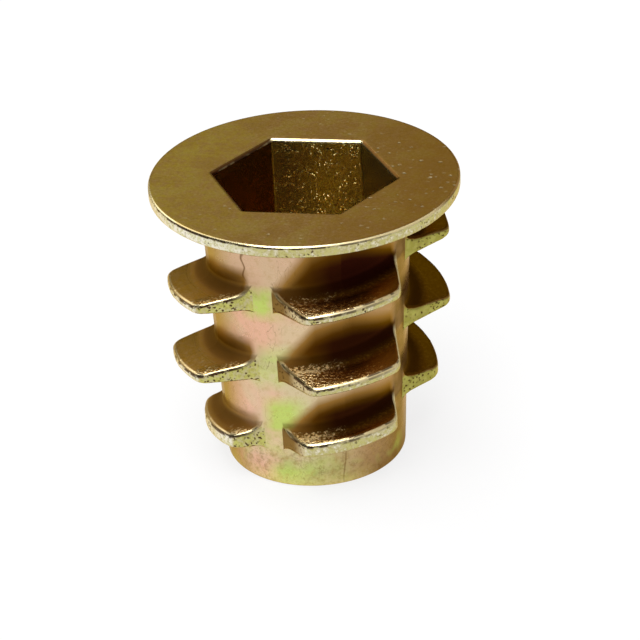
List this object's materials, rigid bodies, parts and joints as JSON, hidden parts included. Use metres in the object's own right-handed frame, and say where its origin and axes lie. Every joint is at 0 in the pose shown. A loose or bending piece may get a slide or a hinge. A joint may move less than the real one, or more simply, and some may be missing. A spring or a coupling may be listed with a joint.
{
  "type": "threaded insert",
  "caption": "Flanged insert for wood, with a hexagonal drive socket, a tapped bore and a coarse outer thread cut into segments by notches.",
  "frame": {"origin": "on the axis, at the face of the lower end, which is the middle of the box's bottom", "axes": "+Z along the axis, from the lower end to the flange; two flats of the socket face -Y and +Y, and two of its corners lie on -X and +X"},
  "size_m": [0.0195, 0.0194, 0.0194],
  "materials": {
    "yellow_chromate": "zinc die casting with an iridescent yellow chromate finish, satin, olive gold to brown, with pink and green patches on the body's wall"
  },
  "bodies": {
    "root": {"insert": "yellow_chromate"}
  },
  "joints": []
}
